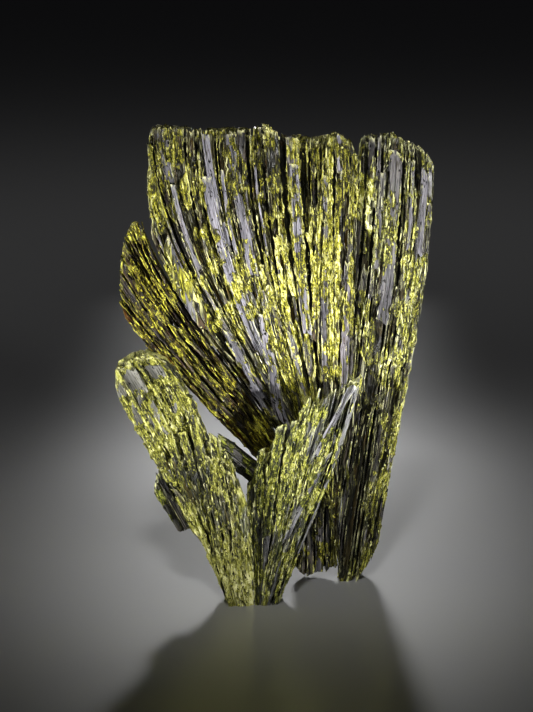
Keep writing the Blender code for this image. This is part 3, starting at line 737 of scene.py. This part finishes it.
def small_crystals(shape, places, normals, onwards, looks, sizes, rng, kind):
    """Small loose crystals of one kind: four-sided rods; sizes are widths, lengths and heights."""
    count = len(places)
    if count == 0:
        return
    normals = normals + rng.normal(0, 0.25, (count, 3))
    onwards = unit(onwards + rng.normal(0, kind["turn"], (count, 3)))
    aside = unit(np.cross(onwards, normals), 1e-9)
    up = np.cross(aside, onwards)
    width, length, height = [size[:, None] for size in sizes]
    corner_angles = np.array([0.25, 0.75, 1.25, 1.75]) * math.pi
    points = []
    for share, wide in kind["rings"]:
        turn = corner_angles[None, :] + rng.normal(0, 0.18, (count, 4))
        size = wide * rng.uniform(0.8, 1.2, (count, 4))
        reach = (share - 0.5 + rng.normal(0, 0.05, (count, 4))) * length
        offset = (aside[:, None, :] * (np.cos(turn) * size * width)[..., None]
                  + up[:, None, :] * ((np.sin(turn) * size + 0.25) * height)[..., None]
                  + onwards[:, None, :] * reach[..., None])
        points.append(places[:, None, :] + offset)
    points = np.stack(points, axis=1).reshape(-1, 3)
    last = 4 * (len(kind["rings"]) - 1)
    stride = last + 4
    quads = [(ring + i, ring + (i + 1) % 4, ring + 4 + (i + 1) % 4, ring + 4 + i)
             for ring in range(0, last, 4) for i in range(4)]
    quads += [(3, 2, 1, 0), (last, last + 1, last + 2, last + 3)]
    base = np.arange(count)[:, None, None] * stride
    quads = (np.array(quads)[None, :, :] + base).reshape(-1, 4)[:, ::-1]
    grain = np.repeat(rng.uniform(0, 90, (count, 3)), stride, axis=0)
    grain += points - np.repeat(places, stride, axis=0)
    grain[:, 1] = 0.0
    points[:, 2] = np.maximum(points[:, 2], 0.0)
    shape.add(quads, np.zeros((0, 3), int), points, grain, np.repeat(looks, stride, axis=0),
              np.repeat(onwards, stride, axis=0))


def dress(shapes, rng):
    """Scatters splinters and crust grains over the blades, from every side."""
    vertices, polygons, owners, firsts = [], [], [], []
    offset = 0
    for number, shape in enumerate(shapes):
        vertices.append(shape.whole("points"))
        quads = shape.whole("quads")
        polygons.extend((quads + offset).tolist())
        owners.append(np.full(len(quads), number))
        firsts.append(quads[:, 0])
        offset += shape.count
    tree = BVHTree.FromPolygons(np.concatenate(vertices).tolist(), polygons)
    first_of, owner_of = np.concatenate(firsts), np.concatenate(owners)
    for direction, grains, splinters in SCATTER:
        places, normals, faces = cast(tree, rng, grains + splinters, direction)
        first, owner = first_of[faces], owner_of[faces]
        is_grain = np.arange(len(faces)) < len(faces) * grains / (grains + splinters)
        chance = rng.uniform(0, 1, len(faces))
        for number, shape in enumerate(shapes):
            mine = owner == number
            look, onward = shape.whole("look"), shape.whole("onward")
            crust = np.where(mine, look[np.where(mine, first, 0), 1], 0)
            grain_here = mine & is_grain & (chance < ramp(crust, 0.38, 0.80))
            splinter_here = mine & ~is_grain & (chance < 0.35 + 0.65 * crust)
            for here, kind in ((grain_here, GRAIN), (splinter_here, SPLINTER)):
                picked = np.nonzero(here)[0]
                lengths = rng.uniform(*kind["length"], len(picked))
                reach = onward[first[picked]] * (lengths / 2)[:, None]
                ends = zip(places[picked] - reach, places[picked] + reach)
                held = [all(tree.find_nearest(Vector(end), HOLD_GAP)[0] is not None for end in pair)
                        for pair in ends]
                held = np.array(held, bool)
                picked, lengths = picked[held], lengths[held]
                own = look[first[picked]].copy()
                width, height = kind["vary"](rng, own, len(picked))
                small_crystals(shape, places[picked], normals[picked], onward[first[picked]], own,
                               (width, lengths, height), rng, kind)


def mesh_piece(name, shape, material, node):
    """Makes the piece's mesh, with its grain and look attributes, and hangs it on the body."""
    points = np.clip((shape.whole("points") - CENTRE) * MM, *cad_box)
    mesh = bpy.data.meshes.new(name)
    mesh.from_pydata(points.tolist(), [], shape.whole("quads").tolist() + shape.whole("tris").tolist())
    for values, kind, field in (("grain", "FLOAT_VECTOR", "vector"), ("look", "FLOAT_COLOR", "color")):
        attribute = mesh.attributes.new(values, kind, "POINT")
        attribute.data.foreach_set(field, shape.whole(values).astype(np.float32).ravel())
    mesh.validate()
    mesh.shade_smooth()
    mesh.set_sharp_from_angle(angle=math.radians(SHARP_ANGLE))
    mesh.materials.append(material)
    piece = bpy.data.objects.new(name, mesh)
    bpy.context.scene.collection.objects.link(piece)
    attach(piece, "root")
    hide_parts(node)


def add_node(tree, kind, values=(), **settings):
    """A shader node with its settings, and its inputs given as numbers or as other sockets."""
    made = tree.nodes.new("ShaderNode" + kind)
    for name, value in settings.items():
        setattr(made, name, value)
    for name, value in dict(values).items():
        if isinstance(value, bpy.types.NodeSocket):
            tree.links.new(value, made.inputs[name])
        else:
            made.inputs[name].default_value = value
    return made


def math_node(tree, operation, first, second):
    return add_node(tree, "Math", {0: first, 1: second}, operation=operation).outputs[0]


def range_node(tree, value, low, high, to_low=0.0, to_high=1.0):
    values = {"Value": value, "From Min": low, "From Max": high, "To Min": to_low, "To Max": to_high}
    return add_node(tree, "MapRange", values, interpolation_type="SMOOTHSTEP").outputs[0]


def mix_node(tree, share, first, second):
    made = add_node(tree, "Mix", {"Factor": share}, data_type="RGBA")
    for socket, value in ((made.inputs[6], first), (made.inputs[7], second)):
        if isinstance(value, bpy.types.NodeSocket):
            tree.links.new(value, socket)
        else:
            socket.default_value = (*value, 1.0)
    return made.outputs[2]


def noise_node(tree, vector, scale, detail, roughness=0.55, shift=0.0):
    placing = {"Vector": vector, "Scale": scale, "Location": (shift, shift, shift)}
    values = {"Vector": add_node(tree, "Mapping", placing).outputs[0], "Scale": 1.0,
              "Detail": detail, "Roughness": roughness}
    return add_node(tree, "TexNoise", values).outputs["Fac"]


def cells_nodes(tree, vector, scale):
    """Voronoi cells: how far their middles are, their random numbers and how far their edges."""
    mapping = add_node(tree, "Mapping", {"Vector": vector, "Scale": scale}).outputs[0]
    cells, edges = [add_node(tree, "TexVoronoi", {"Vector": mapping, "Scale": 1.0}, feature=feature)
                    for feature in ("F1", "DISTANCE_TO_EDGE")]
    chances = add_node(tree, "SeparateColor", {"Color": cells.outputs["Color"]}).outputs
    return cells.outputs["Distance"], chances, edges.outputs["Distance"]


def weighted(tree, *terms):
    """The sum of (value, weight) pairs."""
    total = math_node(tree, "MULTIPLY", *terms[0])
    for value, weight in terms[1:]:
        total = math_node(tree, "ADD", total, math_node(tree, "MULTIPLY", value, weight))
    return total


def ramp_node(tree, value, stops, colours):
    made = add_node(tree, "ValToRGB", {"Fac": value})
    elements = made.color_ramp.elements
    while len(elements) < len(stops):
        elements.new(0.5)
    for element, stop, colour in zip(elements, stops, colours):
        element.position = stop
        element.color = (*colour, 1.0)
    return made.outputs["Color"]


def epidote(name, body, coat, painted_sheen_grey, tint, tint_share, line_share=0.85):
    """Glossy dark crystal with a painted grey sheen on clean faces, a rough yellow-green crust with
    painted shade in its hollows and painted highlights on its crests, and painted highlights along edges
    and broken tips.
    """
    material = bpy.data.materials.new(name)
    material.use_nodes = True
    tree = material.node_tree
    shader = tree.nodes["Principled BSDF"]
    shader.inputs["IOR"].default_value = 1.5
    shader.inputs["Specular IOR Level"].default_value = 0.18
    grain = add_node(tree, "Attribute", attribute_name="grain").outputs["Vector"]
    look = add_node(tree, "Attribute", attribute_name="look")
    parts = add_node(tree, "SeparateColor", {"Color": look.outputs["Color"]})
    # clean is where clean faces get painted sheen, and edge the share of painted highlight along edges
    # and broken tips.
    clean, crust, edge = parts.outputs
    tone = look.outputs["Alpha"]
    # How deep a place lies, which sets the painted shade below.
    depth = add_node(tree, "SeparateXYZ", {"Vector": grain}).outputs["Y"]

    streaks = noise_node(tree, grain, (2.4, 2.4, 0.10), 4.0, 0.62)
    threads = noise_node(tree, grain, (7.0, 7.0, 0.40), 2.0)
    crumbs = noise_node(tree, grain, (0.85, 0.85, 0.27), 3.0, 0.62)
    clouds = noise_node(tree, grain, (0.55, 0.55, 0.14), 3.0, 0.55, 11.3)
    wobble = add_node(tree, "TexNoise", {"Vector": grain, "Scale": 1.6, "Detail": 2.0})
    bent = add_node(tree, "VectorMath", {0: wobble.outputs["Color"], 1: (0.8, 0.8, 1.0), 2: grain},
                    operation="MULTIPLY_ADD").outputs[0]
    _, lump_chance, lump_edge = cells_nodes(tree, bent, LUMP_SCALE)
    grit_middle, grit_chance, grit_edge = cells_nodes(tree, bent, GRIT_SCALE)

    # The crystal: striated, with painted shade in its grooves and painted glints on its ridges, stained
    # in clouds, a painted grey sheen where it is clean, with fine lines and pits
    toned = weighted(tree, (streaks, 0.62), (threads, 0.38), (tone, 0.12))
    dark = body[0]
    surface = ramp_node(tree, toned, (0.50, 0.56, 0.62, 0.70), body)
    tinted = math_node(tree, "MULTIPLY", range_node(tree, clouds, 0.48, 0.62), tint_share)
    surface = mix_node(tree, tinted, surface, tint)
    # Painted sheen: a painted reflection of the soft lights, in grey on clean faces.
    cloudy = range_node(tree, weighted(tree, (clouds, 0.6), (streaks, 0.4)), 0.40, 0.62)
    cloudy_sheen_grey = mix_node(tree, cloudy, [value * 0.45 for value in painted_sheen_grey], painted_sheen_grey)
    sheen_share = math_node(tree, "MULTIPLY", clean, range_node(tree, threads, 0.36, 0.47, 0.1))
    surface = mix_node(tree, sheen_share, surface, cloudy_sheen_grey)
    lines = range_node(tree, noise_node(tree, grain, (3.4, 3.4, 0.07), 1.0, 0.5, 5.7), 0.43, 0.38,
                       0.0, line_share)
    surface = mix_node(tree, lines, surface, dark)
    pits = math_node(tree, "MULTIPLY", range_node(tree, grit_middle, 0.42, 0.32),
                     range_node(tree, grit_chance[2], 0.80, 0.82))
    surface = mix_node(tree, pits, surface, (0.004, 0.004, 0.003))

    # The crust: lumps and grains over the crystal, with painted shade in its hollows and painted
    # highlights on what stands out
    cover = weighted(tree, (lump_chance[0], 0.35), (grit_chance[0], 0.15), (crumbs, 1.1), (crust, 0.95))
    crust_share = range_node(tree, cover, 1.13, 1.22)
    hollows = range_node(tree, noise_node(tree, bent, (1.6, 1.6, 0.60), 2.0, 0.6, 23.1), 0.38, 0.60)
    tangle = range_node(tree, noise_node(tree, bent, (4.6, 4.6, 1.3), 2.0, 0.6, 7.9), 0.38, 0.62)
    grained = range_node(tree, grit_edge, 0.0, 0.22)
    lumped = range_node(tree, lump_edge, 0.0, 0.25)
    strands = range_node(tree, toned, 0.50, 0.61)
    relief = weighted(tree, (hollows, 0.31), (tangle, 0.17), (strands, 0.32), (grained, 0.12),
                      (lumped, 0.08))
    # Painted light and shade: the crust's colour runs from dark in its hollows to bright on its crests.
    painted_crust_light = weighted(tree, (relief, 0.84), (lump_chance[1], 0.14), (grit_chance[1], 0.08), (tone, 0.16))
    coat_colour = ramp_node(tree, painted_crust_light, (0.39, 0.57, 0.79, 1.00), coat)
    surface = mix_node(tree, crust_share, surface, coat_colour)
    # Painted highlight along edges and broken tips, in the crust's brightest colour.
    painted_edge_light = math_node(tree, "MULTIPLY", edge, range_node(tree, grit_chance[1], 0.3, 0.7, 0.0, 0.75))
    surface = mix_node(tree, painted_edge_light, surface, coat[-1])
    # Painted shade: the deeper a place lies, the nearer its colour to the darkest body colour.
    shade = range_node(tree, depth, 0.4, 1.3, 0.0, 0.97)
    surface = mix_node(tree, shade, surface, dark)
    tree.links.new(surface, shader.inputs["Base Color"])

    gloss = range_node(tree, threads, 0.3, 0.7, 0.20, 0.34)
    rough = add_node(tree, "Mix", {"Factor": crust_share, 2: gloss, 3: 0.55}).outputs[0]
    tree.links.new(rough, shader.inputs["Roughness"])
    raised = math_node(tree, "MULTIPLY", math_node(tree, "ADD", relief, 0.35), crust_share)
    height = weighted(tree, (toned, 0.9), (raised, 0.8), (pits, -0.6), (lines, -0.4))
    bump = add_node(tree, "Bump", {"Height": height, "Strength": 1.0, "Distance": 0.35 * MM})
    tree.links.new(bump.outputs["Normal"], shader.inputs["Normal"])
    return material


def fan_front(shape, rng):
    row_of_blades(shape, FAN, 40, rng, 0.85, FACE,
                  lively(rng, 0.40, 0.15, 0.25, 6.0, (0.88, 1.02), 0.12), FAN_CRACKS)


def fan_middle(shape, rng):
    middle_row(shape, FAN, 14, rng)
    row_of_blades(shape, FAN, 18, rng, 0.5, BACK, lively(rng, 0.36, 0.25, 0.22, 9.0))
    ledges(shape, FAN, 20, rng, 1, 0.40, 0.3)
    sheaf_blades(shape, REAR_BLADES, rng, 7, 4, 4, 0.25, 0.2, 0.0, face_step=0.3, along_step=0.9)


def fan_ledges(shape, rng):
    ledges(shape, FAN, 44, rng, -1, 0.42, 0.25)
    chosen_blades(shape, FAN, FAN_BLADES, rng)


def wing(shape, rng):
    sheaf_blades(shape, LEFT_WING, rng, 13, 8, 6, 0.40, 0.05, 0.1, jag=0.3, fall=0.2, gaps=0.1)
    ledges(shape, LEFT_WING, 16, rng, -1, 0.42, 0.1, width=(0.3, 0.9), top=0.9)


def slab(shape, rng):
    sheaf_blades(shape, RIGHT_SLAB, rng, 13, 8, 7, 0.34, 0.15, 0.25, depths=(0.86, 1.02),
                 gaps=0.08, to_floor=True)
    ledges(shape, RIGHT_SLAB, 34, rng, -1, 0.40, 0.15, span=(0.08, 0.4), reach=(0.94, 1.06))
    ledges(shape, RIGHT_SLAB, 10, rng, 1, 0.40, 0.2)
    chosen_blades(shape, RIGHT_SLAB, SLAB_BLADES, rng)


def front(shape, rng):
    sheaf_blades(shape, FRONT_PRISM, rng, 16, 7, 5, 0.37, 0.35, 0.5, depths=(0.88, 1.02),
                 gaps=0.05, to_floor=True, jag=3.0)
    ledges(shape, FRONT_PRISM, 26, rng, -1, 0.42, 0.25, width=(0.3, 1.0), reach=(0.96, 1.08))
    chosen_blades(shape, FRONT_PRISM, FRONT_BLADES, rng)


def left(shape, rng):
    sheaf_blades(shape, UPPER_LEFT, rng, 4, 5, 3, 0.80, 0.1, 0.0, 4.0, (0.90, 0.98), 0.0,
                 jag=0.3, fall=0.3, relief=0.8)
    chosen_blades(shape, UPPER_LEFT, UPPER_LEFT_BLADES, rng, 0.25)
    sheaf_blades(shape, LEFT_FOOT, rng, 14, 7, 5, 0.52, 0.05, 0.5, depths=(0.92, 1.02),
                 gaps=0.0, to_floor=True, jag=2.2, relief=0.8)
    ledges(shape, LEFT_FOOT, 34, rng, -1, 0.55, 0.1, width=(0.3, 1.2), span=(0.08, 0.35),
           reach=(0.98, 1.10))
    chosen_blades(shape, LEFT_FOOT, FOOT_BLADES, rng)


def small_prism(shape, sheaf, chosen, rng, **changes):
    """A small dark crystal, whose front is the facets that the photograph shows."""
    middle_row(shape, sheaf, 2, rng, 0.2, **changes)
    row_of_blades(shape, sheaf, 2, rng, 0.3, dict(BACK, **changes), lively(rng, 0.3, 0.1, 0.0, 6.0))
    chosen_blades(shape, sheaf, chosen, rng, 0.25)


def stub(shape, rng):
    small_prism(shape, STUB, STUB_BLADES, rng)


def bridge(shape, rng):
    small_prism(shape, BRIDGE, BRIDGE_BLADES, rng, along=(0.0, 0.90), taper=0.35)


PIECES = [
    ("fan_blades", fan_front, "fan_epidote", "fan"),
    ("fan_ledges", fan_ledges, "fan_epidote", "fan"),
    ("fan_back_blades", fan_middle, "fan_epidote", "fan"),
    ("wing_blades", wing, "wing_epidote", "left_wing"),
    ("slab_blades", slab, "slab_epidote", "right_slab"),
    ("front_blades", front, "front_epidote", "front_prism"),
    ("left_blades", left, "moss_epidote", "left_prism"),
    ("stub_blades", stub, "dark_epidote", "stub_crystal"),
    ("bridge_blades", bridge, "dark_epidote", "bridge_crystal"),
]


def build_crystals():
    materials = {name: epidote(name, **colours) for name, colours in COLOURS.items()}
    shapes = [Shape() for _ in PIECES]
    for number, (shape, (_, make, _, _)) in enumerate(zip(shapes, PIECES)):
        make(shape, np.random.default_rng(FIRST_SEED + number))
    dress(shapes, np.random.default_rng(DRESS_SEED))
    for shape, (name, _, slot, node) in zip(shapes, PIECES):
        mesh_piece(name, shape, materials[slot], node)


def add_floor():
    bpy.ops.mesh.primitive_plane_add(size=FLOOR_SIZE)
    floor = bpy.context.object
    floor.name = "floor"
    material = bpy.data.materials.new("pale_floor")
    material.use_nodes = True
    shader = material.node_tree.nodes["Principled BSDF"]
    shader.inputs["Base Color"].default_value = (0.47, 0.47, 0.47, 1)
    shader.inputs["Roughness"].default_value = 0.30
    floor.data.materials.append(material)


def aimed(name, data, place, direction):
    """Puts a light or a camera in the scene, turned in a direction."""
    made = bpy.data.objects.new(name, data)
    made.location = place
    made.rotation_euler = direction.to_track_quat("-Z", "Y").to_euler()
    bpy.context.scene.collection.objects.link(made)
    return made


def add_lights():
    for name, place, target, size, power, spread in LIGHTS:
        data = bpy.data.lights.new(name, "AREA")
        data.shape = "RECTANGLE"
        data.size, data.size_y = size
        data.energy = power
        data.spread = math.radians(spread)
        aimed(name, data, place, Vector(target) - Vector(place)).visible_camera = False
    world = bpy.data.worlds.new("studio")
    bpy.context.scene.world = world
    world.use_nodes = True
    world.node_tree.nodes["Background"].inputs["Color"].default_value = (0.005, 0.005, 0.0055, 1)
    bpy.context.scene.view_settings.view_transform = "Standard"


def add_camera():
    data = bpy.data.cameras.new("camera")
    data.sensor_width = CAMERA_SENSOR
    data.lens = CAMERA_LENS
    away = Vector((0, -math.cos(CAMERA_ELEVATION), math.sin(CAMERA_ELEVATION)))
    place = Vector(CAMERA_TARGET) + away * CAMERA_DISTANCE
    bpy.context.scene.camera = aimed("camera", data, place, -away)


add_camera()
add_floor()
add_lights()
build_crystals()
